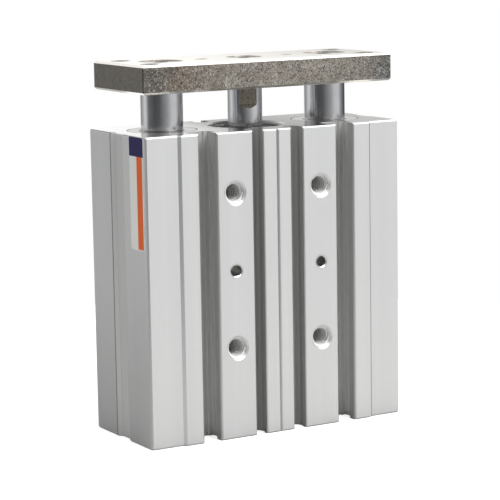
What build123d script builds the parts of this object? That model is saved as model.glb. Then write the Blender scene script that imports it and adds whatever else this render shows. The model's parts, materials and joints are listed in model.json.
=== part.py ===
from build123d import *

import os
from math import cos, radians, sin

# Guided pneumatic cylinder with plain-bearing guide rods.
# Millimetres. The body stands on z = 0, centred on x = y = 0, with its T-slots towards -Y.
# The rods are drawn a few millimetres out, the pose that the moving pieces rest in.

# Travel
stroke = 50.0
rest_lift = 3.3
stop_gap = 0.15

# Body extrusion
body_w = 83.0
body_d = 36.0
corner_r = 2.3
end_bevel = 0.4
strip_w = 10.8
strip_drop = 0.8
centre_mark_w = 1.0
centre_mark_h = 0.5
side_groove_w = 7.6
side_groove_floor_w = 5.2
side_groove_h = 1.0

# T-slots of the front face
tslot_x = 22.4
tslot_mouth_w = 5.4
tslot_lip_h = 2.8
tslot_lip_w = 1.5
tslot_head_h = 4.5
tslot_relief_h = 0.5
tslot_corner_r = 0.4
tslot_bevel = 0.5

# Sensor slots of the front and back faces
sensor_x = 6.4
sensor_left_w = 3.4
sensor_right_w = 3.9
sensor_bevel = 0.3
sensor_round_d = 4.6
sensor_depth = 5.6

# Cylinder bore and the seats of its two covers
bore_d = 20.0
seat_step = 1.1
top_seat_h = 7.5
bottom_seat_h = 5.0
seat_bevel = 0.4

# Retaining rings
clip_t = 1.1
clip_recess = 0.7
clip_bite = 0.5
clip_band = 1.5
clip_gap_angle = 34.0
clip_ear_r = 1.5
clip_ear_angle = 6.0
clip_hole_r = 0.6

# Mounting holes of the body
screw_x = 14.0
screw_low_z = 26.0
screw_from_top = 17.0
screw_d = 6.0
screw_thread_h = 12.0
screw_through_d = 5.4
cap_recess_d = 9.5
cap_recess_h = 5.5
dowel_d = 3.0
dowel_h = 6.0
dowel_slot_extra = 0.5
dowel_bevel = 0.3
hole_bevel = 0.6
bevel_slope = 0.6
base_hole_x = 14.0
base_hole_inset = 4.5
base_hole_d = 5.0
base_hole_h = 13.0

# Air ports
port_d = 9.7
port_bevel = 0.6
port_low_z = 8.5
port_from_top = 10.5
back_port_x = 25.0
port_passage_gap = 0.5
port_bush_lap = 0.5
passage_d = 2.2
passage_inset = 0.5
passage_end_x = 1.5
plug_end_gap = 0.6
plug_recess = 0.4
plug_hex = 5.0
plug_hex_share = 2 / 3

# Guide rods, their bushes, felts and caps
guide_pitch = 54.0
guide_d = 12.0
guide_short = 2.0
guide_end_bevel = 1.0
guide_cap_d = 19.6
guide_cap_t = 1.6
guide_cap_gap = 0.5
guide_cap_edge = 0.2
guide_felt_t = 2.4
bush_wall = 2.0
bush_h = 14.0
bush_space = 2.0
bush_bevel = 0.5
guide_relief_gap = 0.6

# Piston rod, its cover, bush and seal
rod_d = 10.0
rod_flats = 8.6
rod_flats_h = 5.3
rod_flats_runout = 1.1
rod_flats_angle = -17.0
rod_spigot_d = 7.0
rod_spigot_h = 2.0
nose_wall = 1.0
rod_bush_wall = 1.5
rod_bush_h = 5.6
rod_bush_lip = 0.8
rod_seal_w = 2.8
rod_seal_h = 3.0
rod_seal_lip = 0.65
cover_lid_t = 1.5
cover_mouth_gap = 0.7
ring_section_d = 1.2
ring_slack = 0.01
ring_groove_w = 1.8

# Head cover
head_plug_h = 1.0
head_dimple_d = 10.0
head_dimple_h = 0.6

# Piston
piston_h = 14.0
piston_recess_h = 1.0
rivet_d = 8.4
rivet_h = 0.9
piston_pin_d = 6.0
bumper_t = 2.0
bumper_gap = 0.7
rivet_gap = 0.3
wear_z = 1.6
wear_w = 3.0
wear_h = 1.0
magnet_z = 6.0
magnet_w = 3.0
magnet_h = 1.8
seal_z = 10.4
seal_w = 2.2
seal_h = 2.0

# Front plate and the screws that hold it
plate_w = 81.0
plate_d = 30.0
plate_t = 8.0
plate_gap = 8.0
plate_bevel = 0.6
plate_corner_bevel = 0.25
plate_hole_inset_x = 5.5
plate_hole_inset_y = 6.0
plate_hole_d = 5.0
plate_hole_bevel = 0.4
guide_seat_h = 2.0
head_sink = 0.25
head_rim = 0.4
guide_screw_d = 6.0
guide_screw_head_d = 11.3
guide_screw_l = 20.0
guide_screw_hex = 4.0
rod_screw_d = 5.0
rod_screw_head_d = 9.1
rod_screw_l = 16.0
rod_screw_hex = 3.0
hex_h = 2.4
screw_clear = 0.3
tap_extra = 2.0
screw_tip_bevel = 0.7

# Clearances on the radius
run_fit = 0.03
seat_fit = 0.02

# Worked-out sizes across the axis
front_y = -body_d / 2
back_y = body_d / 2
right_x = body_w / 2
guide_x = guide_pitch / 2
tslot_head_w = tslot_mouth_w + 2 * tslot_lip_w
seat_r = bore_d / 2 + seat_step
bumper_d = bore_d - 2 * bumper_gap
bush_d = guide_d + 2 * bush_wall
guide_cap_hole_d = guide_d + 2 * guide_cap_gap
guide_relief_d = guide_d + 2 * guide_relief_gap
rod_bush_d = rod_d + 2 * rod_bush_wall
rod_seal_d = rod_d + 2 * rod_seal_w
cover_mouth_d = rod_d + 2 * cover_mouth_gap
nose_d = rod_bush_d + 2 * nose_wall
base_hole_y = back_y - base_hole_inset
plate_hole_x = plate_w / 2 - plate_hole_inset_x
plate_hole_y = plate_d / 2 - plate_hole_inset_y

# The side ports end beside the guide bushes, the back ports at the passage that grazes the bore
side_port_y = bore_d / 2 - passage_inset
side_port_h = right_x - guide_x - bush_d / 2 + port_bush_lap
back_port_h = back_y - side_port_y - port_passage_gap
plug_h = side_port_h - plug_recess - plug_end_gap
plug_hex_h = plug_hex_share * plug_h

# Worked-out heights: the body is as long as the covers, the piston and its stroke need
clip_inner_z = clip_recess + clip_t
head_top = bottom_seat_h + head_plug_h
nose_bottom = head_top + stroke + piston_h + 2 * (bumper_t + stop_gap)
rod_bush_z = nose_bottom + rod_bush_lip
rod_seal_z = rod_bush_z + rod_bush_h
cover_top = rod_seal_z + rod_seal_h + cover_lid_t
body_h = cover_top + clip_inner_z
cover_step = body_h - top_seat_h
piston_z = head_top + stop_gap + bumper_t + rest_lift
piston_top = piston_z + piston_h
rod_foot = piston_top - piston_recess_h
plate_z = body_h + plate_gap + rest_lift
plate_top = plate_z + plate_t
bush_top = body_h - guide_cap_t - guide_felt_t
bush_floor = bush_top - 2 * bush_h - bush_space
guide_foot = guide_short + rest_lift
port_zs = (port_low_z, body_h - port_from_top)
screw_zs = (screw_low_z, body_h - screw_from_top)
dowel_z = sum(screw_zs) / 2
past = 1.0
upright = (Align.CENTER, Align.CENTER, Align.MIN)

# A tool drawn along Z with its mouth at z = 0 is turned to enter each face of the body
into_front = Rot(90, 0, 0)
into_back = Rot(-90, 0, 0)
into_right = Rot(0, 90, 0)
into_base = Rot(180, 0, 0)


def turned(*points):
    """A solid of revolution about Z from its half section, given as (radius, z) points."""
    return revolve(Plane.XZ * make_face(Polyline(*points, close=True)), Axis.Z)


def tube(outer_d, inner_d, low, high):
    """A plain ring between two heights."""
    return turned((inner_d / 2, low), (outer_d / 2, low), (outer_d / 2, high), (inner_d / 2, high))


def plain_hole(diameter, depth):
    """The void of a hole that enters downwards at z = 0."""
    return Pos(0, 0, -depth) * Cylinder(diameter / 2, depth + past, align=upright)


def drilled(diameter, depth, bevel):
    """The same with a countersunk mouth, wider than it is deep."""
    r = diameter / 2
    neck = -bevel_slope * bevel
    return turned((0, past), (r + bevel, past), (r + bevel, 0), (r, neck), (r, -depth), (0, -depth))


def hexagon(across_flats, low, high):
    """A hexagonal prism, for the socket of a screw or plug."""
    outline = RegularPolygon(across_flats / 2, 6, major_radius=False)
    return Pos(0, 0, low) * extrude(outline, high - low)


def outer_outline():
    """The extrusion's outside: round corners, cut into by the dropped front strips, and side grooves."""
    outline = RectangleRounded(body_w, body_d, corner_r)
    step_x = right_x - strip_w
    floor_y = front_y + strip_drop
    for side in (-1, 1):
        outline -= make_face(Polyline(
            (side * step_x, front_y - past),
            (side * step_x, front_y),
            (side * (step_x + strip_drop), floor_y),
            (side * (right_x + past), floor_y),
            (side * (right_x + past), front_y - past),
            close=True,
        ))
        outline -= make_face(Polyline(
            (side * right_x, side_groove_w / 2),
            (side * (right_x - side_groove_h), side_groove_floor_w / 2),
            (side * (right_x - side_groove_h), -side_groove_floor_w / 2),
            (side * right_x, -side_groove_w / 2),
            close=True,
        ))
    return outline


def mouth(width, depth, bevel):
    """A slot's neck below y = 0, with its bevelled lips."""
    half = width / 2
    return make_face(Polyline(
        (-half - bevel, past),
        (-half - bevel, 0),
        (-half, -bevel),
        (-half, -depth),
        (half, -depth),
        (half, -bevel),
        (half + bevel, 0),
        (half + bevel, past),
        close=True,
    ))


def tslot_section():
    """A T-slot that opens at y = 0 and runs down into the metal."""
    head = RectangleRounded(tslot_head_w, tslot_head_h, tslot_corner_r)
    head = Pos(0, -tslot_lip_h - tslot_head_h / 2) * head
    relief = Rectangle(tslot_mouth_w, tslot_relief_h, align=(Align.CENTER, Align.MAX))
    relief = Pos(0, -tslot_lip_h - tslot_head_h) * relief
    return mouth(tslot_mouth_w, tslot_lip_h + tslot_head_h / 2, tslot_bevel) + head + relief


def sensor_section(mouth_w):
    """A round-bottomed sensor slot that opens at y = 0."""
    centre_y = -sensor_depth + sensor_round_d / 2
    return mouth(mouth_w, -centre_y, sensor_bevel) + Pos(0, centre_y) * Circle(sensor_round_d / 2)


def slots():
    """All lengthwise slots of the body, as one cutting shape."""
    mark = make_face(Polyline(
        (-centre_mark_w / 2, 0), (0, -centre_mark_h), (centre_mark_w / 2, 0), close=True))
    front = Pos(0, front_y) * Rot(0, 0, 180)
    back = Pos(0, back_y)
    section = front * mark
    for side, mouth_w in ((-1, sensor_left_w), (1, sensor_right_w)):
        section += front * Pos(-side * tslot_x, 0) * tslot_section()
        section += front * Pos(-side * sensor_x, 0) * sensor_section(mouth_w)
        section += back * Pos(side * sensor_x, 0) * sensor_section(mouth_w)
    return Pos(0, 0, -past) * extrude(section, body_h + 2 * past)


def bore_void():
    """The cylinder bore, with the seat and ring groove of a cover at each end."""
    bore_r = bore_d / 2
    groove_r = seat_r + clip_bite
    mouth_r = seat_r + seat_bevel
    low_ring = (clip_recess, clip_inner_z)
    high_ring = (cover_top, body_h - clip_recess)
    return turned(
        (0, -past), (mouth_r, -past), (mouth_r, 0), (seat_r, seat_bevel),
        (seat_r, low_ring[0]), (groove_r, low_ring[0]), (groove_r, low_ring[1]), (seat_r, low_ring[1]),
        (seat_r, bottom_seat_h), (bore_r, bottom_seat_h), (bore_r, cover_step), (seat_r, cover_step),
        (seat_r, high_ring[0]), (groove_r, high_ring[0]), (groove_r, high_ring[1]), (seat_r, high_ring[1]),
        (seat_r, body_h - seat_bevel), (mouth_r, body_h), (mouth_r, body_h + past), (0, body_h + past),
    )


def guide_void():
    """A guide hole: pocket for cap and felt, bush bore, then clearance down to the base."""
    pocket_r = guide_cap_d / 2
    relief_r = guide_relief_d / 2
    return turned(
        (0, -past), (relief_r + hole_bevel, -past), (relief_r + hole_bevel, 0), (relief_r, hole_bevel),
        (relief_r, bush_floor), (bush_d / 2, bush_floor), (bush_d / 2, bush_top),
        (pocket_r, bush_top), (pocket_r, body_h + past), (0, body_h + past),
    )


def screw_hole():
    """A mounting hole right through the body: thread in front, cap recess behind."""
    tapped = into_front * drilled(screw_d, screw_thread_h, hole_bevel)
    through = into_front * plain_hole(screw_through_d, body_d)
    recess = Pos(0, body_d, 0) * into_back * plain_hole(cap_recess_d, cap_recess_h)
    return tapped + through + recess


def dowel_tool():
    """A round dowel hole."""
    return drilled(dowel_d, dowel_h, dowel_bevel)


def dowel_slot_tool():
    """A dowel slot, a little longer along X than a hole."""
    shift = dowel_slot_extra / 2
    middle = Pos(0, 0, -dowel_h) * Box(2 * shift, dowel_d, dowel_h + past, align=upright)
    return Pos(-shift, 0, 0) * dowel_tool() + Pos(shift, 0, 0) * dowel_tool() + middle


def air_ways():
    """Back ports, side ports and the passages that join them to the bore."""
    ways = []
    for z in port_zs:
        back_port = into_back * drilled(port_d, back_port_h, port_bevel)
        side_port = into_right * drilled(port_d, side_port_h, port_bevel)
        reach = right_x - side_port_h / 2 - passage_end_x
        passage = into_right * Cylinder(passage_d / 2, reach, align=upright)
        ways.append(Pos(back_port_x, back_y, z) * back_port)
        ways.append(Pos(right_x, side_port_y, z) * side_port)
        ways.append(Pos(passage_end_x, side_port_y, z) * passage)
    return ways


def body():
    """The aluminium extrusion with everything machined into it."""
    block = extrude(outer_outline(), body_h)
    ends = block.edges().group_by(Axis.Z)
    block = chamfer(ends[0] + ends[-1], end_bevel)
    block -= slots()
    block -= bore_void()
    for side in (-1, 1):
        block -= Pos(side * guide_x, 0, 0) * guide_void()
        for z in screw_zs:
            block -= Pos(side * screw_x, front_y, z) * screw_hole()
        for y in (-base_hole_y, base_hole_y):
            base_hole = into_base * drilled(base_hole_d, base_hole_h, hole_bevel)
            block -= Pos(side * base_hole_x, y, 0) * base_hole
    block -= Pos(-screw_x, front_y, dowel_z) * into_front * dowel_slot_tool()
    block -= Pos(screw_x, front_y, dowel_z) * into_front * dowel_tool()
    for way in air_ways():
        block -= way
    return block


def port_plug(z):
    """A hexagon-socket plug in a side port."""
    r = port_d / 2 - seat_fit
    blank = turned((0, -plug_h), (r - port_bevel, -plug_h), (r, port_bevel - plug_h), (r, 0), (0, 0))
    plug = blank - hexagon(plug_hex, -plug_hex_h, past)
    return Pos(right_x - plug_recess, side_port_y, z) * into_right * plug


def clip():
    """An internal retaining ring that lies on z = 0, its gap towards +Y."""
    outer_r = seat_r + clip_bite - seat_fit
    inner_r = outer_r - clip_band
    flat = Circle(outer_r) - Circle(inner_r)
    half_gap = radians(clip_gap_angle / 2)
    reach = 2 * outer_r
    flat -= make_face(Polyline(
        (0, 0), (reach * sin(half_gap), reach * cos(half_gap)),
        (-reach * sin(half_gap), reach * cos(half_gap)), close=True))
    ear_y = inner_r - clip_ear_r / 2
    for side in (-1, 1):
        turn = Rot(0, 0, side * (clip_gap_angle / 2 + clip_ear_angle))
        flat += turn * Pos(0, ear_y) * Circle(clip_ear_r)
        flat -= turn * Pos(0, ear_y) * Circle(clip_hole_r)
    return extrude(flat, clip_t)


def seal_groove(low, high):
    """The points of a ring groove in a cover's rim, from the lower edge to the upper one."""
    middle = (low + high) / 2
    floor_r = seat_r - run_fit - ring_section_d
    rim_r = seat_r - run_fit
    return [
        (rim_r, middle - ring_groove_w / 2), (floor_r, middle - ring_groove_w / 2),
        (floor_r, middle + ring_groove_w / 2), (rim_r, middle + ring_groove_w / 2),
    ]


def seal_ring(low, high):
    """The rubber ring in that groove."""
    section_r = ring_section_d / 2 - ring_slack
    ring_r = seat_r - run_fit - ring_section_d / 2
    return Pos(0, 0, (low + high) / 2) * Torus(ring_r, section_r)


def rod_cover():
    """The rod-end cover: rim in its seat, nose down the bore, pockets for bush and seal."""
    rim_r = seat_r - run_fit
    mouth_r = cover_mouth_d / 2
    bush_r = rod_bush_d / 2
    pocket_r = rod_seal_d / 2
    pocket_high = rod_seal_z + rod_seal_h
    return turned(
        (mouth_r, nose_bottom), (nose_d / 2, nose_bottom), (nose_d / 2, cover_step),
        (rim_r, cover_step), *seal_groove(cover_step, cover_top), (rim_r, cover_top),
        (mouth_r, cover_top), (mouth_r, pocket_high), (pocket_r, pocket_high), (pocket_r, rod_seal_z),
        (bush_r, rod_seal_z), (bush_r, rod_bush_z), (mouth_r, rod_bush_z),
    )


def rod_bush():
    """The plain bearing of the piston rod."""
    return tube(rod_bush_d - 2 * seat_fit, rod_d + 2 * run_fit, rod_bush_z, rod_seal_z)


def rod_seal():
    """The rod seal: a U-shaped ring with its open side towards the pressure."""
    low = rod_seal_z
    high = low + rod_seal_h
    inner_r = rod_d / 2 + run_fit
    outer_r = rod_seal_d / 2 - seat_fit
    middle_r = (inner_r + outer_r) / 2
    lip = rod_seal_lip
    return turned(
        (inner_r, low), (middle_r - lip, low), (middle_r, low + rod_seal_h / 2), (middle_r + lip, low),
        (outer_r, low), (outer_r, high), (inner_r, high),
    )


def head_cover():
    """The blank cover at the base end."""
    rim_r = seat_r - run_fit
    plug_r = bore_d / 2 - run_fit
    groove = seal_groove(clip_inner_z, bottom_seat_h)
    dimple_r = head_dimple_d / 2
    dimple_z = clip_inner_z + head_dimple_h
    return turned(
        (0, dimple_z), (dimple_r, dimple_z), (dimple_r, clip_inner_z), (rim_r, clip_inner_z), *groove,
        (rim_r, bottom_seat_h), (plug_r, bottom_seat_h), (plug_r, head_top), (0, head_top),
    )


def guide_bush(low):
    """One sintered bush of a guide rod."""
    outer_r = bush_d / 2 - seat_fit
    inner_r = guide_d / 2 + run_fit
    high = low + bush_h
    return turned(
        (inner_r + bush_bevel, low), (outer_r - bush_bevel, low), (outer_r, low + bush_bevel),
        (outer_r, high - bush_bevel), (outer_r - bush_bevel, high), (inner_r + bush_bevel, high),
        (inner_r, high - bush_bevel), (inner_r, low + bush_bevel),
    )


def guide_felt():
    """The oil felt that wipes a guide rod, under its cap."""
    return tube(guide_cap_d - 2 * seat_fit, guide_d + 2 * run_fit, bush_top, bush_top + guide_felt_t)


def guide_cap():
    """The flush ring that holds the felt down."""
    outer_r = guide_cap_d / 2 - seat_fit
    inner_r = guide_cap_hole_d / 2
    low = body_h - guide_cap_t
    edge = guide_cap_edge
    return turned(
        (inner_r, low), (outer_r, low), (outer_r, body_h - edge), (outer_r - edge, body_h),
        (inner_r + edge, body_h), (inner_r, body_h - edge),
    )


def piston_groove(start, width, depth):
    """The points of a groove in the piston's rim, from its lower edge to its upper one."""
    rim_r = bore_d / 2 - run_fit
    low = piston_z + start
    high = low + width
    return [(rim_r, low), (rim_r - depth, low), (rim_r - depth, high), (rim_r, high)]


def piston_band(start, width, depth):
    """A ring that fills such a groove."""
    outer_d = bore_d - 2 * run_fit
    low = piston_z + start
    return tube(outer_d, outer_d - 2 * depth + 2 * seat_fit, low + seat_fit, low + width - seat_fit)


def piston():
    """The piston, with grooves for wear band, magnet and seal."""
    rim_r = bore_d / 2 - run_fit
    pin_r = piston_pin_d / 2 + seat_fit
    rivet_r = rivet_d / 2 + seat_fit
    seat = rod_d / 2 + seat_fit
    return turned(
        (rivet_r, piston_z), (rim_r, piston_z),
        *piston_groove(wear_z, wear_w, wear_h),
        *piston_groove(magnet_z, magnet_w, magnet_h),
        *piston_groove(seal_z, seal_w, seal_h),
        (rim_r, piston_top), (seat, piston_top), (seat, rod_foot), (pin_r, rod_foot),
        (pin_r, piston_z + rivet_h + seat_fit), (rivet_r, piston_z + rivet_h + seat_fit),
    )


def front_bumper():
    """The elastic ring on the rod side of the piston."""
    return tube(bumper_d, rod_d + 2 * seat_fit, piston_top, piston_top + bumper_t)


def rear_bumper():
    """The elastic ring on the head side of the piston."""
    return tube(bumper_d, rivet_d + 2 * rivet_gap, piston_z - bumper_t, piston_z)


def piston_rod():
    """The rod, riveted into the piston below and flatted under the plate."""
    rod_r = rod_d / 2
    pin_r = piston_pin_d / 2
    rivet_r = rivet_d / 2
    rivet_top = piston_z + rivet_h
    spigot_r = rod_spigot_d / 2
    spigot_top = plate_z + rod_spigot_h
    blank = turned(
        (0, piston_z), (rivet_r, piston_z), (rivet_r, rivet_top), (pin_r, rivet_top),
        (pin_r, rod_foot), (rod_r, rod_foot), (rod_r, plate_z),
        (spigot_r, plate_z), (spigot_r, spigot_top), (0, spigot_top),
    )
    flat_r = rod_flats / 2
    flats_foot = plate_z - rod_flats_h
    side = make_face(Polyline(
        (flat_r, plate_z), (flat_r, flats_foot), (rod_r, flats_foot - rod_flats_runout),
        (rod_r + past, flats_foot - rod_flats_runout), (rod_r + past, plate_z), close=True))
    cutter = extrude(Plane.YZ * side, rod_d, both=True)
    for turn in (rod_flats_angle, rod_flats_angle + 180):
        blank -= Rot(0, 0, turn) * cutter
    thread = plain_hole(rod_screw_d + 2 * seat_fit, screw_reach(rod_screw_l) + rod_spigot_h + tap_extra)
    return blank - Pos(0, 0, spigot_top) * thread


def screw_reach(length):
    """How far below the plate's underside a plate screw of this length ends."""
    return length + head_sink - plate_t


def guide_rod(side):
    """A hard-chromed guide rod, seated in the plate's underside."""
    r = guide_d / 2
    bevel = guide_end_bevel
    top = plate_z + guide_seat_h
    blank = turned(
        (0, guide_foot), (r - bevel, guide_foot), (r, guide_foot + bevel), (r, top), (0, top))
    thread = plain_hole(guide_screw_d + 2 * seat_fit, screw_reach(guide_screw_l) + guide_seat_h + tap_extra)
    return Pos(side * guide_x, 0, 0) * (blank - Pos(0, 0, top) * thread)


def countersunk_screw(diameter, head_d, length, hexagon_w):
    """A flat-head socket screw below z = 0, the top of its head."""
    r = diameter / 2
    head_r = head_d / 2
    cone = head_r - r
    tip = screw_tip_bevel
    blank = turned(
        (0, 0), (head_r, 0), (head_r, -head_rim), (r, -head_rim - cone),
        (r, tip - length), (r - tip, -length), (0, -length))
    return blank - hexagon(hexagon_w, -hex_h, past)


def countersink(diameter, head_d):
    """The hole for such a screw in the plate, drawn downwards from z = 0, the plate's top."""
    r = diameter / 2 + screw_clear
    mouth_r = head_d / 2 + head_rim + head_sink
    low = -plate_t - past
    return turned((0, past), (mouth_r, past), (mouth_r, 0), (r, r - mouth_r), (r, low), (0, low))


def plate():
    """The front plate with its countersinks, rod seats, threads and dowel holes."""
    blank = Pos(0, 0, plate_z) * Box(plate_w, plate_d, plate_t, align=upright)
    ends = blank.edges().group_by(Axis.Z)
    blank = chamfer(ends[0] + ends[-1], plate_bevel)
    corners = chamfer(Rectangle(plate_w, plate_d).vertices(), plate_corner_bevel)
    blank &= Pos(0, 0, plate_z) * extrude(corners, plate_t)
    blank -= Pos(0, 0, plate_top) * countersink(rod_screw_d, rod_screw_head_d)
    spigot_seat = plain_hole(rod_spigot_d + 2 * seat_fit, rod_spigot_h)
    guide_seat = plain_hole(guide_d + 2 * seat_fit, guide_seat_h)
    blank -= Pos(0, 0, plate_z) * into_base * spigot_seat
    for side in (-1, 1):
        blank -= Pos(side * guide_x, 0, plate_top) * countersink(guide_screw_d, guide_screw_head_d)
        blank -= Pos(side * guide_x, 0, plate_z) * into_base * guide_seat
        for y in (-plate_hole_y, plate_hole_y):
            tapped = Pos(0, 0, plate_top) * drilled(plate_hole_d, plate_t + past, plate_hole_bevel)
            tapped += Pos(0, 0, plate_z) * into_base * drilled(plate_hole_d, plate_t, plate_hole_bevel)
            blank -= Pos(side * plate_hole_x, y, 0) * tapped
    blank -= Pos(-screw_x, 0, plate_top) * dowel_slot_tool()
    blank -= Pos(screw_x, 0, plate_top) * dowel_tool()
    return blank


def guide_screw(side):
    """The screw that holds a guide rod to the plate."""
    screw = countersunk_screw(guide_screw_d, guide_screw_head_d, guide_screw_l, guide_screw_hex)
    return Pos(side * guide_x, 0, plate_top - head_sink) * screw


def rod_screw():
    """The screw that holds the piston rod to the plate."""
    screw = countersunk_screw(rod_screw_d, rod_screw_head_d, rod_screw_l, rod_screw_hex)
    return Pos(0, 0, plate_top - head_sink) * screw


parts = {
    "body": body(),
    "rod_cover": rod_cover(),
    "rod_cover_seal_ring": seal_ring(cover_step, cover_top),
    "rod_cover_clip": Pos(0, 0, cover_top) * clip(),
    "rod_bush": rod_bush(),
    "rod_seal": rod_seal(),
    "head_cover": head_cover(),
    "head_cover_seal_ring": seal_ring(clip_inner_z, bottom_seat_h),
    "head_cover_clip": Pos(0, 0, clip_recess) * clip(),
    "port_plug_lower": port_plug(port_zs[0]),
    "port_plug_upper": port_plug(port_zs[1]),
    "plate": plate(),
    "rod_screw": rod_screw(),
    "piston_rod": piston_rod(),
    "piston": piston(),
    "piston_wear_band": piston_band(wear_z, wear_w, wear_h),
    "piston_magnet": piston_band(magnet_z, magnet_w, magnet_h),
    "piston_seal": piston_band(seal_z, seal_w, seal_h),
    "front_bumper": front_bumper(),
    "rear_bumper": rear_bumper(),
}
for name, side in (("left", -1), ("right", 1)):
    place = Pos(side * guide_x, 0, 0)
    parts["guide_bush_upper_" + name] = place * guide_bush(bush_top - bush_h)
    parts["guide_bush_lower_" + name] = place * guide_bush(bush_floor)
    parts["guide_felt_" + name] = place * guide_felt()
    parts["guide_cap_" + name] = place * guide_cap()
    parts["guide_rod_" + name] = guide_rod(side)
    parts["guide_screw_" + name] = guide_screw(side)

os.makedirs("parts", exist_ok=True)
for node, shape in parts.items():
    export_step(shape, "parts/" + node + ".step")
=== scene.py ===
# %% [markdown]
# # Dressing a guided pneumatic cylinder
# The construction of this cylinder is finished before this lesson starts: every rod, screw, bush and cover
# is a solid at its real size. What is left is how it looks. The body is a clear-anodised extrusion, the rods
# are hard chromed, the plate is nickel plated, and each of those finishes answers light in its own way. They
# could be painted on images, but a pattern that a material computes has no seams and stays sharp from close
# by, so all of them are computed. The frame is loaded first, and everything below is placed by the sizes
# that it reports, in metres.

# %% Load the frame
import json
from math import cos, pi, radians, sin
from types import SimpleNamespace

import bpy
from mathutils import Matrix, Vector


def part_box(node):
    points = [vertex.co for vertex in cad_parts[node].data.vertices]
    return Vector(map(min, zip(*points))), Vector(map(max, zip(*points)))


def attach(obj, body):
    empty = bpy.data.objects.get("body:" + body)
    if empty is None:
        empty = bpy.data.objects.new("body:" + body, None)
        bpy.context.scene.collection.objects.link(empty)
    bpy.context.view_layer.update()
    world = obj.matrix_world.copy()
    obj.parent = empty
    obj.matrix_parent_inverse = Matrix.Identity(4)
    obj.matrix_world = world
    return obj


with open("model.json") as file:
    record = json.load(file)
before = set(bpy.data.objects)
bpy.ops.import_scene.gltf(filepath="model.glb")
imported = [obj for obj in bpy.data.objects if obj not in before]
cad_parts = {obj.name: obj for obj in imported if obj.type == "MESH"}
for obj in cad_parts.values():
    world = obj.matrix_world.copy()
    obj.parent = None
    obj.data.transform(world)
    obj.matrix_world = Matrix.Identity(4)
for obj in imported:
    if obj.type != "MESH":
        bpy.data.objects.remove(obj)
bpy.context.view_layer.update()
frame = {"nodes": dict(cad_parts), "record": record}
bpy.ops.object.select_all(action="DESELECT")
nodes = frame["nodes"]

# %% [markdown]
# The places of the finishes and of the new pieces could be typed in, but they would be wrong as soon as the
# construction changed. A node's box gives the faces of the body, the centre of each guide rod and the levels
# of the plate, so they are read from there.

# %% Places taken from the solids
mm = 0.001
body_low, body_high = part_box("body")
plate_low, plate_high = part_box("plate")
cap_low, cap_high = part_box("guide_cap_right")
plug_low, plug_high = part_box("port_plug_lower")
top_plug_low, top_plug_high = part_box("port_plug_upper")
guide_x = (cap_low.x + cap_high.x) / 2
port_zs = ((plug_low.z + plug_high.z) / 2, (top_plug_low.z + top_plug_high.z) / 2)
print("guide rods at x = ±", round(guide_x / mm, 2), "mm, ports at", [round(z / mm, 2) for z in port_zs])

# %% [markdown]
# A material is a net of nodes. Written by hand each sum would take a node and two links, so one small class
# wraps a socket: Python's own signs then add, scale and compare patterns, and one method adds any other node.


# %% Shader maths
class Wire:
    """An output socket that takes part in sums as a number does."""

    def __init__(self, tree, socket=None):
        self.tree = tree
        self.socket = socket

    def node(self, kind, settings, inputs, output=0):
        """Adds a node, sets it up, feeds its inputs and returns one of its outputs."""
        made = self.tree.nodes.new(kind)
        for name, value in settings.items():
            if name == "stops":
                set_stops(made.color_ramp, value)
            else:
                setattr(made, name, value)
        for place, value in inputs.items():
            if isinstance(value, Wire):
                self.tree.links.new(value.socket, made.inputs[place])
            else:
                made.inputs[place].default_value = value
        return Wire(self.tree, made.outputs[output]) if made.outputs else None

    def maths(self, operation, *values):
        return self.node("ShaderNodeMath", {"operation": operation}, dict(enumerate(values)))

    def folded(self, step):
        """Rises from 0 to 1 over one step and falls over the next."""
        return self.maths("PINGPONG", self / step, 1.0)

    def root(self):
        return self.maths("SQRT", self)

    def __add__(self, other):
        return self.maths("ADD", self, other)

    def __sub__(self, other):
        return self.maths("SUBTRACT", self, other)

    def __rsub__(self, other):
        return self.maths("SUBTRACT", other, self)

    def __mul__(self, other):
        return self.maths("MULTIPLY", self, other)

    def __truediv__(self, other):
        return self.maths("DIVIDE", self, other)

    def __gt__(self, other):
        return self.maths("GREATER_THAN", self, other)

    def __lt__(self, other):
        return self.maths("LESS_THAN", self, other)

    def __abs__(self):
        return self.maths("ABSOLUTE", self)


def set_stops(ramp, stops):
    """Gives a colour ramp its stops, each a place from 0 to 1 and a colour."""
    while len(ramp.elements) < len(stops):
        ramp.elements.new(1.0)
    for element, (place, colour) in zip(ramp.elements, stops):
        element.position = place
        element.color = colour


print("shader maths ready")

# %% [markdown]
# Colours are written as a screen shows them, from 0 to 255, and turned into the linear values that light
# adds up in. Patterns could follow a UV map, which unfolds each solid like a paper model, but the solids
# have none. They are read in Object coordinates instead, in metres, so each one gets the real size of its
# grain.


# %% Colours and patterns
def rgb(red, green, blue):
    """A screen colour as linear light, with full opacity."""
    shares = [value / 255 for value in (red, green, blue)]
    linear = [((v + 0.055) / 1.055) ** 2.4 if v > 0.04 else v / 12.92 for v in shares]
    return (*linear, 1.0)


def places(wire):
    """Object coordinates, as one vector and as three numbers."""
    coords = wire.node("ShaderNodeTexCoord", {}, {}, "Object")
    return coords, [coords.node("ShaderNodeSeparateXYZ", {}, {0: coords}, axis) for axis in range(3)]


def grain(coords, size, detail=2.0, roughness=0.5):
    """Noise around 0.5, whose grains have this size along each axis, in metres."""
    scaled = coords.node("ShaderNodeMapping", {}, {"Vector": coords, "Scale": [1 / s for s in size]})
    inputs = {"Vector": scaled, "Scale": 1.0, "Detail": detail, "Roughness": roughness}
    return coords.node("ShaderNodeTexNoise", {}, inputs)


def relief(height, depth, normal=None):
    """A bump of this depth in metres, on top of another one."""
    inputs = {"Height": height, "Distance": depth}
    if normal:
        inputs["Normal"] = normal
    return height.node("ShaderNodeBump", {}, inputs)


print("mid grey is", round(rgb(128, 128, 128)[0], 3), "in linear light")

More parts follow.
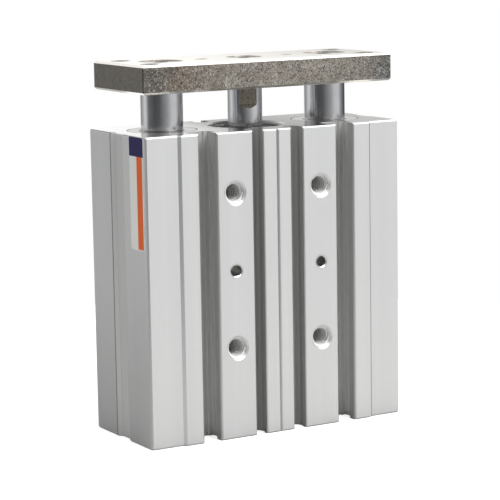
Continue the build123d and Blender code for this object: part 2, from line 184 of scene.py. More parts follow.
# %% [markdown]
# A zone of a part, such as the inside of a hole, could be a group of faces with a material of its own, but
# then its border has to be an edge of the mesh. A mask needs no edge: it is a number that is 1 in the zone
# and 0 elsewhere, made by comparing a point's coordinates with a size. Masks multiply where zones overlap.
# One function lays colours over each other by their masks, and another raises or lowers a plain number by
# them.


# %% Masks and what they steer
def between(value, start_value, end_value):
    """0 up to the first value and 1 from the second one on, with a straight line in between."""
    inputs = {"Value": value, "From Min": start_value, "From Max": end_value}
    return value.node("ShaderNodeMapRange", {}, inputs)


def near(value, middle, reach):
    """1 where a value is this close to a middle."""
    return abs(value - middle) < reach


def is_ray(wire, kind):
    """1 for rays of a kind, such as Camera for those that the camera sends out."""
    return wire.node("ShaderNodeLightPath", {}, {}, f"Is {kind} Ray")


def ring_distance(x, y, centre_x):
    """Distance from an upright axis at this x, or from its mirror image."""
    offset = abs(x) - centre_x
    return (offset * offset + y * y).root()


def blend(amount, first, second):
    """A colour between two others."""
    return amount.node("ShaderNodeMix", {"data_type": "RGBA"}, {0: amount, 6: first, 7: second}, 2)


def layered(colour, *coats):
    """A colour under coats, each a mask and the colour that it lays on."""
    for mask, coat in coats:
        colour = blend(mask, colour, coat)
    return colour


def tuned(number, *shares):
    """A number that each mask raises, or lowers, by its share."""
    for mask, share in shares:
        number = mask * share + number
    return number


face_skin = 0.02 * mm
print("a face's mask reaches", round(face_skin / mm, 3), "mm deep")

# %% [markdown]
# Steel, rubber and felt could each have a shader of their own, but one Principled surface covers them all,
# and it is the one that other programs understand. What varies over the metal is linked to it, and what is
# the same all over is set on its own sockets, so that it survives an export.

# %% One surface for every finish
finishes = {}


def start(name):
    """A new empty material, as the first wire of its net."""
    material = bpy.data.materials.new(name)
    material.use_nodes = True
    material.node_tree.nodes.clear()
    finishes[name] = material
    return Wire(material.node_tree)


def surface(wire, colour, rough, metal, normal, specular=0.5):
    """The Principled surface and the material's output."""
    inputs = {"Base Color": colour, "Roughness": rough, "Metallic": metal, "Normal": normal}
    inputs["Specular IOR Level"] = specular
    shader = wire.node("ShaderNodeBsdfPrincipled", {}, inputs)
    wire.node("ShaderNodeOutputMaterial", {}, {"Surface": shader})


print("surface ready")

# %% [markdown]
# ## The body
# The screw holes in the front were drilled and tapped, the recesses behind them take screw heads, and the
# dowel holes between them were reamed. Each side has a shallow groove, and the front has slots. Each of
# these is a zone, because each answers light in its own way. A node's box gives only the outside of the
# body, so the sizes of the zones are written down here. A name with _r is a radius, with _t a depth below a
# face and with _w a width.

# %% Where the body was machined
screw_x = 14 * mm
screw_zs = (26 * mm, 70 * mm)
screw_zone_r = 3.62 * mm
head_zone_r = 4.77 * mm
thread_below = 0.75 * mm
dowel_z = sum(screw_zs) / 2
dowel_zone_r = 2.1 * mm
reamed_below = 0.4 * mm
base_y = 13.5 * mm
port_x = 25 * mm
end_skin = 0.03 * mm
groove_half_w = 4.1 * mm
groove_zone_t = 1.1 * mm
groove_floor_t = 0.95 * mm
slots_half_w = 30 * mm
slots_t = 8 * mm
tslot_head_x = 17 * mm
tslot_head_t = 2.9 * mm
print("front holes at z =", [round(z / mm, 2) for z in screw_zs], "mm")

# %% [markdown]
# The slots grow darker over the first half millimetre of their depth, and the wide heads of the T-slots,
# under their lips, keep a lighter tone. The light does a part of this, and painted shade in the slots' colour
# does the rest. The holes are found by the distance from their axes, and the grooves of the sides by their
# depth and width.


# %% Zones of the body
def hole_zones(x, y, z):
    """1 inside the screw holes, and 1 inside the dowel holes, and 0 on the faces round them."""
    off_x = abs(x) - screw_x
    off_dowel = abs(z - dowel_z)
    off_screw = off_dowel - (screw_zs[1] - dowel_z)
    from_screw = (off_x * off_x + off_screw * off_screw).root()
    from_dowel = (off_x * off_x + off_dowel * off_dowel).root()
    screw_reach = (y > 0) * (head_zone_r - screw_zone_r) + screw_zone_r
    return screw_reach > from_screw, (from_dowel < dowel_zone_r) * (y < 0)


def groove_zones(x, y):
    """1 in the shallow groove of each side, and 1 on its floor alone."""
    below = body_high.x - abs(x)
    groove = (below < groove_zone_t) * (abs(y) < groove_half_w) * (below > face_skin)
    return groove, groove * (below > groove_floor_t)


def slot_zones(x, y):
    """Rises from 0 to 1 into the slots of the front and back, the mask of their painted shade, and 1 in the
    heads of the T-slots.
    """
    below = body_high.y - abs(y)
    slots = between(below, 0.08 * mm, 0.45 * mm) * (below < slots_t) * (abs(x) < slots_half_w)
    return slots, (below > tslot_head_t) * (abs(x) > tslot_head_x)


print("zones: holes, grooves and slots")

# %% [markdown]
# Some lines are as thin as a pencil's: a brown rim of oil round each cap, a line of painted shade along the
# rear edge of each side groove, a darker top edge on each side, and painted shade on the step down to the
# right-hand strip of the front. Most have no form that a mesh could show, so they are strokes of colour. The
# ends are seen at a grazing angle, where even dark metal shines, so their colour carries a painted reflection
# that changes from pale on the left to dark in the middle and mid grey on the right.


# %% Lines and ends of the body
def thin_lines(x, y, z):
    """Masks of the rim round each cap, the grooves' painted shade lines, the sides' top edges and the painted
    shade on the front's step.
    """
    rim_r, rim_half_w = 9.8 * mm, 0.2 * mm
    shade_line_y, shade_line_half_w, shade_line_t = 3.9 * mm, 0.2 * mm, 0.2 * mm
    edge_h, edge_t = 0.36 * mm, 0.39 * mm
    step_x, step_half_w = body_high.x - 10.4 * mm, 0.3 * mm
    rim = near(ring_distance(x, y, guide_x), rim_r, rim_half_w)
    # a line of painted shade along the rear edge of each side groove
    groove_shade_lines = near(y, shade_line_y, shade_line_half_w) * (abs(x) > body_high.x - shade_line_t)
    # a darker line along the top edge of each side
    edges = (z > body_high.z - edge_h) * (abs(x) > body_high.x - edge_t)
    # painted shade on the step down to the right-hand strip of the front
    step = near(x, step_x, step_half_w) * (y < 0)
    return rim, groove_shade_lines, edges, step


def ends_painted_reflection(x):
    """The colour of the two end faces, a painted reflection graded along x."""
    pale, dark, grey = rgb(252, 252, 251), rgb(122, 122, 119), rgb(166, 165, 162)
    left_part = blend(between(x, -24 * mm, -8 * mm), pale, dark)
    return blend(between(x, 12 * mm, 26 * mm), left_part, grey)


def body_zones(x, y, z):
    """Every zone and line of the body, by name."""
    ends = (z > body_high.z - end_skin) + (z < body_low.z + end_skin)
    tapped, reamed = hole_zones(x, y, z)
    slots, heads = slot_zones(x, y)
    groove, groove_floor = groove_zones(x, y)
    rim, groove_shade_lines, edges, step = thin_lines(x, y, z)
    sides = 1 - ends
    holes = tapped + reamed
    threaded = tapped * (abs(y) < body_high.y - thread_below)
    dowel_walls = reamed * (abs(y) < body_high.y - reamed_below)
    return SimpleNamespace(
        ends=ends, holes=holes, threaded=threaded, reamed=reamed, dowel_walls=dowel_walls,
        slots=slots * sides * (1 - holes), heads=heads, groove=groove, groove_floor=groove_floor,
        rim=rim * ends, groove_shade_lines=groove_shade_lines, edges=edges * sides, step=step * sides)


print("lines: rims, groove shade lines, edges and step shade")

# %% [markdown]
# An extrusion keeps faint streaks along its length, from the die that it was pressed through, and the etch
# before anodising leaves a very fine matt grain over them. Both are noise, stretched along the body for the
# streaks. Its two sawn ends were milled afterwards, so they are smoother and carry the wide arcs of a cutter
# whose axis was far off to the side. Each zone then takes its own colour and its own share of roughness and
# of metal.


# %% Anodised extrusion
def anodised_colour(zone, x, streaks, broad):
    """The plain skin's colour, under that of every zone and line."""
    tone = tuned(0.5, (streaks - 0.5, 0.5), (broad - 0.5, 0.5))
    return layered(
        blend(between(tone, 0.3, 0.7), rgb(221, 222, 222), rgb(228, 229, 228)),
        # the ends carry a painted reflection, graded along x
        (zone.ends, ends_painted_reflection(x)),
        (zone.rim, rgb(112, 98, 84)),
        # painted shade along the rear edge of each side groove
        (zone.groove_shade_lines, rgb(150, 150, 149)),
        # painted shade in the slots, with the heads of the T-slots left at a lighter tone
        (zone.slots, blend(zone.heads, rgb(188, 188, 187), rgb(230, 230, 229))),
        (zone.edges, rgb(120, 120, 118)),
        (zone.groove_floor, rgb(207, 207, 206)),
        # painted shade on the step of the front's right-hand strip
        (zone.step, rgb(96, 96, 95)),
        # painted light: the tapped walls are near white and duller, so the inside of the holes reads lit
        (zone.threaded, rgb(246, 246, 245)),
        (zone.dowel_walls, rgb(190, 190, 188)),
    )


def anodised_body():
    """The body's finish: streaks, grain, arcs and every zone."""
    wire = start("anodised_aluminium")
    coords, (x, y, z) = places(wire)
    streaks = grain(coords, (0.45 * mm, 0.45 * mm, 90 * mm), 3.0, 0.6)
    broad = grain(coords, (5 * mm, 5 * mm, 200 * mm))
    etch = grain(coords, (0.09 * mm, 0.09 * mm, 0.12 * mm))
    cutter_x, cutter_feed = 160 * mm, 0.35 * mm
    arcs = ring_distance(x, y, cutter_x).folded(cutter_feed)
    zone = body_zones(x, y, z)
    colour = anodised_colour(zone, x, streaks, broad)
    rough = tuned(0.38, (streaks - 0.5, 0.1), (zone.ends, -0.18), (zone.holes, -0.06),
                  (zone.groove, 0.2), (zone.rim, 0.4))
    metal = tuned(0.66, (zone.groove, -0.4), (zone.threaded, -0.42), (zone.reamed, 0.34),
                  (zone.slots, 0.12), (zone.ends, 0.3), (zone.rim, -0.8))
    normal = relief(streaks, 0.005 * mm)
    normal = relief(etch, 0.003 * mm, normal)
    normal = relief(arcs * zone.ends, 0.0015 * mm, normal)
    surface(wire, colour, rough, metal, normal)


anodised_body()
print("finishes:", sorted(finishes))

# %% [markdown]
# ## Turned parts
# Covers, caps and screws come off a lathe: fine rings about their own axis catch the light in a fan. The
# rings are far too fine to be modelled, so the distance from that axis, folded back and forth at the tool's
# feed, draws them in the tone and as a bump. The middle screw shares the finish of the two outer ones, so its
# lines are arcs about their axes. The plugs lie on their side, and get fine and nearly straight lines.


# %% Turned metal
def turned_metal(name, dark, light, rough, feed, centre_x, metal=1.0):
    """A metal between two tones, turned at this feed about the axes at plus and minus centre_x."""
    wire = start(name)
    coords, (x, y, z) = places(wire)
    rings = (ring_distance(x, y, centre_x) + z).folded(feed)
    speck = grain(coords, (0.5 * mm, 0.5 * mm, 0.5 * mm), 3.0, 0.6)
    colour = blend(between(speck * 0.7 + rings * 0.3, 0.3, 0.7), dark, light)
    normal = relief(rings, 0.003 * mm)
    normal = relief(speck, 0.004 * mm, normal)
    surface(wire, colour, tuned(rough, (speck - 0.5, 0.2)), metal, normal)


turned_metal("cover_aluminium", rgb(200, 201, 202), rgb(222, 223, 223), 0.22, 0.18 * mm, 0.0, 0.95)
turned_metal("cap_steel", rgb(176, 174, 170), rgb(200, 198, 194), 0.2, 0.14 * mm, guide_x)
turned_metal("plug_steel", rgb(186, 182, 174), rgb(205, 201, 194), 0.28, 0.2 * mm, guide_x)
turned_metal("screw_steel", rgb(140, 137, 131), rgb(166, 163, 157), 0.2, 0.16 * mm, guide_x)
turned_metal("clip_steel", rgb(192, 191, 188), rgb(218, 217, 214), 0.2, 0.3 * mm, 0.0)
print("finishes:", len(finishes))

# %% [markdown]
# ## The rods
# Hard chrome is ground after plating. The grinding lines run round the rod and are much finer than a hair,
# so they only soften the reflection a little along the rod. The piston rod has two wrench flats under the
# plate, milled before plating, which stay rougher and darker than the ground part. They are faces of the
# solid, and the mask finds them by their distance from the rod's axis and by their length.

# %% Where the flats are
flats_turn = radians(-17)
flats_reach = 4.27 * mm
flats_low_z = plate_low.z - 6.5 * mm
rod_r = 4.97 * mm


def flats_zone(x, y, z):
    """1 on the two wrench flats, inside the rod's round skin."""
    across = y * cos(flats_turn) - x * sin(flats_turn)
    outside = (x * x + y * y).root() > rod_r
    return (abs(across) > flats_reach) * (z > flats_low_z) * (1 - outside)


print("flats end at z =", round(flats_low_z / mm, 2), "mm")

# %% [markdown]
# Both finishes share the ground chrome: a haze that changes the shine in clouds, and fine lines round the
# rod. A plain mirror would be quicker, but no real rod is so even. The finish with flats then lays a coarser
# and duller grain over their zone.


# %% Hard chrome
def hard_chrome(name, flats):
    """Ground chrome, with or without the wrench flats."""
    wire = start(name)
    coords, (x, y, z) = places(wire)
    lines = grain(coords, (3 * mm, 3 * mm, 0.07 * mm))
    haze = grain(coords, (4 * mm, 4 * mm, 6 * mm), 3.0)
    colour = blend(between(haze, 0.3, 0.7), rgb(222, 223, 226), rgb(234, 235, 238))
    rough = tuned(0.13, (haze - 0.5, 0.06), (lines - 0.5, 0.04))
    normal = relief(lines, 0.0006 * mm)
    if flats:
        milled = flats_zone(x, y, z)
        tooth = grain(coords, (0.32 * mm, 0.32 * mm, 0.32 * mm), 3.0, 0.75)
        dull = blend(between(tooth, 0.4, 0.6), rgb(112, 106, 96), rgb(196, 188, 174))
        colour = blend(milled, colour, dull)
        rough = tuned(rough, (milled, 0.3))
        normal = relief(tooth * milled, 0.02 * mm, normal)
    surface(wire, colour, rough, 1.0, normal)


hard_chrome("hard_chrome", False)
hard_chrome("flatted_chrome", True)
print("finishes:", len(finishes))

# %% [markdown]
# ## The plate
# The plate is a slice of cold-drawn steel, nickel plated over its scale, so its broad faces are freckled:
# tiny bright grains and dark pits on a warm grey, browner towards the left and greyer at both ends. Its two
# cut ends are smoother, with a faint mottle, and the bevels round its top and underside carry painted
# highlights, near white on top and a lighter grey underneath. One noise gives the grains and the pits, one by
# its highest values and the other by its lowest, so that they never meet.

# %% Zones of the plate
bevel = 0.58 * mm
plate_middle_z = (plate_low.z + plate_high.z) / 2
bevel_from = (plate_high.z - plate_low.z) / 2 - bevel


def plate_zones(x, y, z):
    """1 on the bevels round the top and the underside, and 1 on the two cut ends."""
    by_level = abs(z - plate_middle_z) > bevel_from
    by_side = x.maths("MAXIMUM", abs(y) > plate_high.y - bevel, abs(x) > plate_high.x - bevel)
    bevels = by_level * by_side
    return bevels, (abs(x) > plate_high.x - face_skin) * (1 - bevels)


def scale_colour(x, freckle, cloud):
    """Nickel over scale: patches along x, bright grains, dark pits and a cloudy shade."""
    wander = 16 * mm
    along = (cloud - 0.5) * wander + x
    colour = layered(
        blend(between(along, -26 * mm, -17 * mm), rgb(144, 133, 123), rgb(167, 162, 153)),
        (between(along, -30 * mm, -35 * mm), rgb(124, 122, 116)),
        (between(along, 30 * mm, 40 * mm), rgb(118, 120, 122)),
        (between(freckle, 0.56, 0.64), rgb(224, 219, 210)),
        (between(freckle, 0.46, 0.38), rgb(78, 72, 67)),
    )
    shade = blend(between(cloud, 0.34, 0.66), rgb(220, 218, 216), rgb(255, 255, 255))
    return colour.node("ShaderNodeMix", {"data_type": "RGBA", "blend_type": "MULTIPLY"},
                       {0: 1.0, 6: colour, 7: shade}, 2)


print("the plate's bevels start", round(bevel_from / mm, 2), "mm from its middle")

# %% [markdown]
# The zones take their colours in order, the freckled scale first and the bevels last. The top is seen at a
# grazing angle, so its colour carries a painted reflection, graded along x as that of the body's ends is. The
# bump follows the freckles on the broad faces and the mottle on the ends, and leaves the bevels smooth.


# %% Plated steel
def plated_steel():
    """The plate's finish, zone by zone."""
    wire = start("plated_steel")
    coords, (x, y, z) = places(wire)
    freckle = grain(coords, (0.4 * mm, 0.4 * mm, 0.4 * mm), 3.0, 0.75)
    cloud = grain(coords, (5 * mm, 5 * mm, 3.5 * mm), 4.0, 0.65)
    mottle = grain(coords, (1.2 * mm, 1.0 * mm, 1.0 * mm), 5.0, 0.7)
    bevels, ends = plate_zones(x, y, z)
    # painted reflection on the top face, graded along x
    top_painted_reflection = (z > plate_high.z - face_skin) * 0.8
    colour = layered(
        scale_colour(x, freckle, cloud),
        (top_painted_reflection, blend(between(x, -35 * mm, 35 * mm), rgb(246, 244, 238), rgb(196, 194, 188))),
        (ends, blend(between(mottle, 0.35, 0.65), rgb(118, 115, 108), rgb(144, 140, 133))),
        # painted highlights on the bevels, near white on top and a lighter grey underneath
        (bevels, blend(z > plate_middle_z, rgb(252, 249, 243), rgb(206, 203, 197))),
    )
    rough = tuned(0.42, (cloud - 0.5, 0.2), (bevels, -0.2))
    normal = relief(freckle * (1 - ends) * (1 - bevels) + mottle * ends * 0.3, 0.03 * mm)
    surface(wire, colour, rough, 1.0, normal)


plated_steel()
print("finishes:", len(finishes))

# %% [markdown]
# ## Inside
# Bushes, seals, felts and bumpers hardly show, but the part comes apart on a bench, so each has its finish:
# porous bronze, smooth rubber, fibrous felt, bonded magnet and cast urethane. They share one recipe, a noise
# that tints the colour and roughens the surface, with the grain size and depth that the material has.


# %% Hidden materials
def plain_stuff(name, dark, light, rough, metal, size, depth):
    """A material between two tones, with a grain of this size and depth."""
    wire = start(name)
    fleck = grain(places(wire)[0], (size, size, size), 4.0, 0.65)
    colour = blend(between(fleck, 0.35, 0.65), dark, light)
    surface(wire, colour, tuned(rough, (fleck - 0.5, 0.2)), metal, relief(fleck, depth))


plain_stuff("bearing_bronze", rgb(142, 106, 62), rgb(186, 146, 92), 0.42, 1.0, 0.3 * mm, 0.02 * mm)
plain_stuff("seal_rubber", rgb(22, 22, 23), rgb(34, 34, 35), 0.45, 0.0, 0.6 * mm, 0.004 * mm)
plain_stuff("oil_felt", rgb(138, 124, 98), rgb(176, 162, 132), 0.9, 0.0, 0.25 * mm, 0.12 * mm)
plain_stuff("wear_plastic", rgb(58, 48, 38), rgb(78, 66, 54), 0.5, 0.0, 0.4 * mm, 0.01 * mm)
plain_stuff("magnet_compound", rgb(40, 40, 43), rgb(62, 62, 66), 0.55, 0.0, 0.2 * mm, 0.01 * mm)
plain_stuff("bumper_rubber", rgb(190, 160, 96), rgb(206, 180, 118), 0.4, 0.0, 1.5 * mm, 0.004 * mm)
print("finishes:", len(finishes))

# %% [markdown]
# The nodes could be dressed one by one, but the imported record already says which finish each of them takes,
# so one loop does it. Only the piston rod differs from its record's slot, by its wrench flats.

# %% Give every node its finish
for part in frame["record"]["subparts"]:
    for slot in nodes[part["node"]].material_slots:
        slot.material = finishes[part["material_slot"]]
for slot in nodes["piston_rod"].material_slots:
    slot.material = finishes["flatted_chrome"]
print("dressed", len(nodes), "nodes")

# %% [markdown]
# ## Threads
# The tapped holes are plain cylinders in the construction. A thread could be a bump in the material, but a
# mesh that leaves this scene would then be smooth. So it is real: one ridge that climbs the wall in a helix.
# Its cross-section is modelled once, and a Screw modifier winds it. The section is a square face, stood
# upright at the wall, with its inner edge narrowed to the flat crest that a tap leaves.

# %% A ridge and its winding
crest_share = 0.58
bury = 0.03 * mm
foot_w, crest_w = 0.86, 0.28
steps_per_turn = 28


def ridge_section(name, wall_r, depth, pitch):
    """The ridge's cross-section, upright at the wall of a hole and narrower on its inner side."""
    height = crest_share * pitch + bury
    middle = (wall_r + bury - height / 2, 0, -depth)
    bpy.ops.mesh.primitive_plane_add(size=1, location=middle, rotation=(pi / 2, 0, 0))
    piece = bpy.context.object
    piece.name = name
    piece.scale = (height, pitch * foot_w, 1)
    bpy.ops.object.transform_apply(location=True, rotation=True, scale=True)
    for vertex in piece.data.vertices:
        vertex.select = vertex.co.x < middle[0]
    bpy.ops.object.mode_set(mode="EDIT")
    bpy.ops.mesh.select_mode(type="VERT")
    bpy.ops.transform.resize(value=(1, 1, crest_w / foot_w), center_override=middle)
    bpy.ops.object.mode_set(mode="OBJECT")
    return piece


def wind(piece, turns, pitch):
    """Winds the section into a helix and closes its two ends."""
    screw = piece.modifiers.new("Winding", "SCREW")
    screw.axis = "Z"
    screw.screw_offset = pitch
    screw.iterations = turns
    screw.steps = steps_per_turn
    screw.render_steps = steps_per_turn
    bpy.ops.object.modifier_apply(modifier=screw.name)
    bpy.ops.object.mode_set(mode="EDIT")
    bpy.ops.mesh.select_all(action="SELECT")
    bpy.ops.mesh.fill_holes(sides=4)
    bpy.ops.mesh.select_all(action="SELECT")
    bpy.ops.mesh.normals_make_consistent(inside=False)
    bpy.ops.object.mode_set(mode="OBJECT")
    bpy.ops.object.shade_smooth_by_angle(angle=radians(40))


print("one turn has", steps_per_turn, "steps")

# %% [markdown]
# Four holes in the front take M6 screws, four in the base and four in the plate take M5, and two ports in
# the back take an eighth-inch pipe fitting. Each size is a wall radius, a depth and a pitch. One loop per
# row of holes places the threads, so that the two sides can't differ.

# %% Threads in every tapped hole
into_front = (pi / 2, 0, 0)
into_back = (-pi / 2, 0, 0)
into_top = (0, 0, 0)
into_base = (pi, 0, 0)
front_size = (3 * mm, 11.4 * mm, 1.0 * mm)
base_size = (2.5 * mm, 12.4 * mm, 0.8 * mm)
plate_size = (2.5 * mm, 7.2 * mm, 0.8 * mm)
port_size = (4.85 * mm, 7.2 * mm, 0.907 * mm)
plate_hole_x = plate_high.x - 5.5 * mm
plate_hole_y = plate_high.y - 6 * mm
start_below = 0.4 * mm


def thread(name, body, slot, size, spot, turn):
    """An internal thread of this wall radius, depth and pitch, from this spot into the hole."""
    wall_r, depth, pitch = size
    piece = ridge_section(name, wall_r, depth, pitch)
    wind(piece, int(depth / pitch), pitch)
    piece.rotation_euler = turn
    piece.location = spot
    bpy.ops.object.transform_apply(location=True, rotation=True, scale=True)
    piece.data.materials.append(finishes[slot])
    piece.select_set(False)
    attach(piece, body)
    return piece


made = []
for side, x_sign in (("left", -1), ("right", 1)):
    for level, z in zip(("low", "high"), screw_zs):
        spot = (x_sign * screw_x, body_low.y + start_below, z)
        made.append(thread(f"front_thread_{level}_{side}", "housing", "anodised_aluminium",
                           front_size, spot, into_front))
    for row, y_sign in (("front", -1), ("back", 1)):
        spot = (x_sign * screw_x, y_sign * base_y, body_low.z + start_below)
        made.append(thread(f"base_thread_{row}_{side}", "housing", "anodised_aluminium",
                           base_size, spot, into_base))
        spot = (x_sign * plate_hole_x, y_sign * plate_hole_y, plate_high.z - start_below)
        made.append(thread(f"plate_thread_{row}_{side}", "carriage", "plated_steel",
                           plate_size, spot, into_top))
for level, z in zip(("lower", "upper"), port_zs):
    spot = (port_x, body_high.y - start_below, z)
    made.append(thread(f"port_thread_{level}", "housing", "anodised_aluminium",
                       port_size, spot, into_back))
print(len(made), "threads,", sum(len(piece.data.polygons) for piece in made), "faces")

# %% [markdown]
# ## The label
# A small film label sits high on the left side, just behind the front edge. It is 0.1 mm thick with rounded
# corners. Its print is plain colour: a dark violet band on top, and below it, inside a narrow pale margin,
# an orange field beside a pale one. It carries no lettering, so a few straight borders make it and no image
# is needed.

# %% Label print
label_low = Vector((body_low.x - 0.1 * mm, -15.7 * mm, 55.6 * mm))
label_high = Vector((body_low.x + 0.02 * mm, -7.9 * mm, 86.8 * mm))
band_z = label_high.z - 5.3 * mm
split_y = label_low.y + 3.6 * mm
split_soft = 0.2 * mm
margin = 0.3 * mm
soft = 0.06 * mm


def label_film():
    """The label's print, as fields of plain colour."""
    wire = start("label_film")
    coords, (x, y, z) = places(wire)
    fibre = grain(coords, (0.3 * mm, 0.3 * mm, 0.3 * mm), 3.0)
    inside = between(y, label_low.y + margin, label_low.y + margin + soft)
    inside = inside * between(y, label_high.y - margin, label_high.y - margin - soft)
    inside = inside * between(z, label_low.z + margin, label_low.z + margin + soft)
    in_band = between(z, band_z, band_z + soft)
    past_split = between(y, split_y - split_soft, split_y + split_soft)
    fields = blend(past_split, rgb(238, 108, 48), rgb(240, 241, 236))
    colour = layered(
        rgb(240, 242, 239),
        (x.maths("MAXIMUM", inside, in_band), blend(in_band, fields, rgb(40, 33, 88))),
        (between(fibre, 0.2, 0.8) * 0.03, rgb(230, 230, 228)),
    )
    surface(wire, colour, tuned(0.4, (fibre - 0.5, 0.1)), 0.0, relief(fibre, 0.003 * mm), 0.1)


label_film()
print("label from z =", round(label_low.z / mm, 2), "to", round(label_high.z / mm, 2), "mm")

# %% [markdown]
# A plane would be simpler, but it would have no edge to catch the light. So the film starts as a thin block.
# Its four short edges, the ones that cross the film, are picked by how far they reach along x, and bevelled
# into rounded corners.


# %% Label
def label():
    """The film as a piece that stays on the body."""
    size = label_high - label_low
    bpy.ops.mesh.primitive_cube_add(size=1, location=(label_low + label_high) / 2)
    piece = bpy.context.object
    piece.name = "side_label"
    piece.scale = size
    bpy.ops.object.transform_apply(location=True, rotation=True, scale=True)
    bpy.ops.object.mode_set(mode="EDIT")
    bpy.ops.mesh.select_mode(type="EDGE")
    bpy.ops.mesh.select_all(action="DESELECT")
    bpy.ops.object.mode_set(mode="OBJECT")
    spots = [vertex.co for vertex in piece.data.vertices]
    for edge in piece.data.edges:
        first, second = (spots[index] for index in edge.vertices)
        edge.select = abs(first.x - second.x) > size.x / 2
    bpy.ops.object.mode_set(mode="EDIT")
    bpy.ops.mesh.bevel(offset=0.5 * mm, segments=6, affect="EDGES")
    bpy.ops.object.mode_set(mode="OBJECT")
    bpy.ops.object.shade_smooth_by_angle(angle=radians(30))
    piece.data.materials.append(finishes["label_film"])
    piece.select_set(False)
    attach(piece, "housing")
    return piece


print("label faces:", len(label().data.polygons))

# %% [markdown]
# ## The camera
# The picture was taken from the left and slightly above, with a long lens. The camera keeps that view: its
# azimuth is measured round the object from the front, and its distance is to the point it was fitted about.
# Three directions make up its matrix, which keeps the small roll that pointing it at a target would lose.

# %% Camera
camera_azimuth = radians(-30.204)
camera_elevation = radians(8.962)
camera_roll = radians(-0.973)
camera_distance = 604.895 * mm
fitted_about = Vector((0, 0, 50 * mm))
focal_px = 2085.318
image_px = 500
centre_px = Vector((247.232, 251.095))
sensor_mm = 36
toward = Vector((
    sin(camera_azimuth) * cos(camera_elevation),
    -cos(camera_azimuth) * cos(camera_elevation),
    sin(camera_elevation),
))
level_right = Vector((0, 0, 1)).cross(toward).normalized()
level_up = toward.cross(level_right)
right = level_right * cos(camera_roll) + level_up * sin(camera_roll)
up = level_up * cos(camera_roll) - level_right * sin(camera_roll)
camera = bpy.data.objects.new("camera", bpy.data.cameras.new("camera"))
bpy.context.scene.collection.objects.link(camera)
camera.matrix_world = Matrix.Translation(fitted_about + toward * camera_distance) @ Matrix(
    (right, up, toward)).transposed().to_4x4()
camera.data.sensor_width = sensor_mm
camera.data.lens = focal_px / image_px * sensor_mm
camera.data.shift_x = (image_px / 2 - centre_px.x) / image_px
camera.data.shift_y = (centre_px.y - image_px / 2) / image_px
camera.data.clip_start = 10 * mm
bpy.context.scene.camera = camera
print("camera at", [round(v, 4) for v in camera.location], "lens", round(camera.data.lens, 1), "mm")

# %% [markdown]
# ## The studio
# Polished rods show what stands round them. Cards and windows could be modelled, but they are only seen in
# reflections, so the studio is drawn on the sky as a band of greys: white paper behind the object, a pale
# card on its left, dark cards beside the camera and a wall that brightens towards the right. The direction
# of a ray, turned so that the camera stands at zero, picks its place in the band.

# %% The band of greys
world = bpy.data.worlds.new("studio")
world.use_nodes = True
world.node_tree.nodes.clear()
bpy.context.scene.world = world
air = Wire(world.node_tree)
brightest = 3.0
full_turn = 360
# Angles in degrees, from behind the object past its left, the camera and its right, each with its radiance.
band = [
    (-180, 0.74), (-174, 0.96), (-158, 1.0), (-152, 0.25), (-138, 0.32), (-122, 0.42), (-98, 0.72),
    (-86, 0.50), (-78, 0.22), (-68, 0.14), (-50, 0.105), (-34, 0.075), (-8, 0.10), (0, 0.15), (10, 0.205),
    (30, 0.32), (40, 0.39), (47, 0.48), (54, 0.565), (64, 0.62), (86, 0.62), (93, 0.50), (101, 0.34),
    (112, 0.24), (122, 0.17), (134, 0.09), (157, 0.08), (164, 0.64), (180, 0.70),
]


def lit(level):
    """A grey for a radiance up to the brightest one."""
    share = level / brightest
    return (share, share, share, 1.0)


stops = [(angle / full_turn + 0.5, lit(level)) for angle, level in band]
direction = air.node("ShaderNodeTexCoord", {}, {}, "Generated")
faced = air.node("ShaderNodeMapping", {}, {"Vector": direction, "Rotation": (0, 0, -camera_azimuth)})
ray_x, ray_y, ray_z = [air.node("ShaderNodeSeparateXYZ", {}, {0: faced}, axis) for axis in range(3)]
around = air.maths("ARCTAN2", ray_x, 0 - ray_y) / (2 * pi) + 0.5
walls = air.node("ShaderNodeValToRGB", {"stops": stops}, {"Fac": around})
print("band:", len(band), "stops")

# %% [markdown]
# Above the band hangs a ceiling, dim over the camera and bright behind the object, and in it, high on the
# right, a soft box. The box is a cone of directions: the nearer a ray points to its middle, the brighter it
# is. The camera itself sees plain white.

# %% Ceiling and soft box
behind_from, behind_to = 0.29, 0.34
ceiling_from, ceiling_to = 0.12, 0.3
box_turn, box_rise = radians(103), radians(59)
box_rim, box_core = 0.90, 0.96
behind = between(abs(around - 0.5), behind_from, behind_to)
ceiling = blend(behind, lit(0.25), lit(1.4))
light = blend(between(ray_z, ceiling_from, ceiling_to), walls, ceiling)
box_x = cos(box_rise) * sin(box_turn)
box_y = -cos(box_rise) * cos(box_turn)
toward_box = ray_x * box_x + ray_y * box_y + ray_z * sin(box_rise)
light = blend(between(toward_box, box_rim, box_core), light, lit(brightest))
light = blend(is_ray(air, "Camera"), light, lit(1.0))
background = air.node("ShaderNodeBackground", {}, {"Color": light, "Strength": brightest})
air.node("ShaderNodeOutputWorld", {}, {"Surface": background})
print("world nodes:", len(world.node_tree.nodes))

# %% [markdown]
# Two lamps do the rest: a large soft one above and to the right of the camera, which lights the front, and a
# weaker one from the left. A lamp lights a matt face with less noise than a bright patch of sky does. Both
# look at the point that the camera was fitted about.

# %% Lamps
lamp_w = 500 * mm


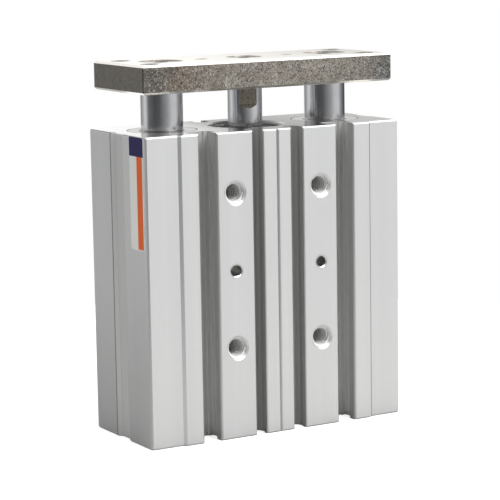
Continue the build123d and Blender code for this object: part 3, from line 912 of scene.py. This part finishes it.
def lamp(name, spot, power):
    """A square soft light that looks at the point the camera was fitted about."""
    data = bpy.data.lights.new(name, "AREA")
    data.size = lamp_w
    data.energy = power
    light = bpy.data.objects.new(name, data)
    light.location = spot
    light.rotation_euler = (Vector(spot) - fitted_about).to_track_quat("Z", "Y").to_euler()
    bpy.context.scene.collection.objects.link(light)


lamp("key", (250 * mm, -750 * mm, 700 * mm), 10.0)
lamp("fill", (-900 * mm, 50 * mm, 750 * mm), 3.0)
print("lamps:", len(bpy.data.lights))

# %% [markdown]
# The floor is a disc of grey paper. What the camera sees of it is lifted to white, so only the shadow under
# the body stays darker. A gloss that mirrors it sees darker greys: painted shade under and behind the object,
# and a lighter grey in front of it.


# %% Floor
def paper():
    """Grey paper, with a glow that lifts it to white for the camera and a little for a gloss."""
    wire = start("paper")
    coords, (x, y, z) = places(wire)
    seen = is_ray(wire, "Camera")
    glossy = is_ray(wire, "Glossy")
    fibre = grain(coords, (2 * mm, 2 * mm, 2 * mm), 3.0)
    # painted shade for glossy rays: darker grey under and behind the object, lighter in front
    mirrored_painted_shade = blend(between(y, -10 * mm, -30 * mm), rgb(120, 120, 119), rgb(172, 172, 170))
    plain = blend(between(fibre, 0.3, 0.7), rgb(176, 176, 175), rgb(181, 181, 180))
    diffuse = wire.node("ShaderNodeBsdfDiffuse", {}, {"Color": blend(glossy, plain, mirrored_painted_shade)})
    lift = seen * 0.75 + glossy * 0.02
    glow = wire.node("ShaderNodeEmission", {}, {"Color": (1, 1, 1, 1), "Strength": lift})
    both = wire.node("ShaderNodeAddShader", {}, {0: diffuse, 1: glow})
    wire.node("ShaderNodeOutputMaterial", {}, {"Surface": both})


floor_r = 200 * mm
paper()
bpy.ops.mesh.primitive_circle_add(vertices=128, radius=floor_r, fill_type="NGON", location=(0, 0, 0))
floor = bpy.context.object
floor.name = "floor"
floor.data.materials.append(finishes["paper"])
floor.select_set(False)
print("floor radius", round(floor_r / mm), "mm")

# %% [markdown]
# The view settings stay plain, so a colour renders as it is written.

# %% Finish
bpy.context.scene.view_settings.view_transform = "Standard"
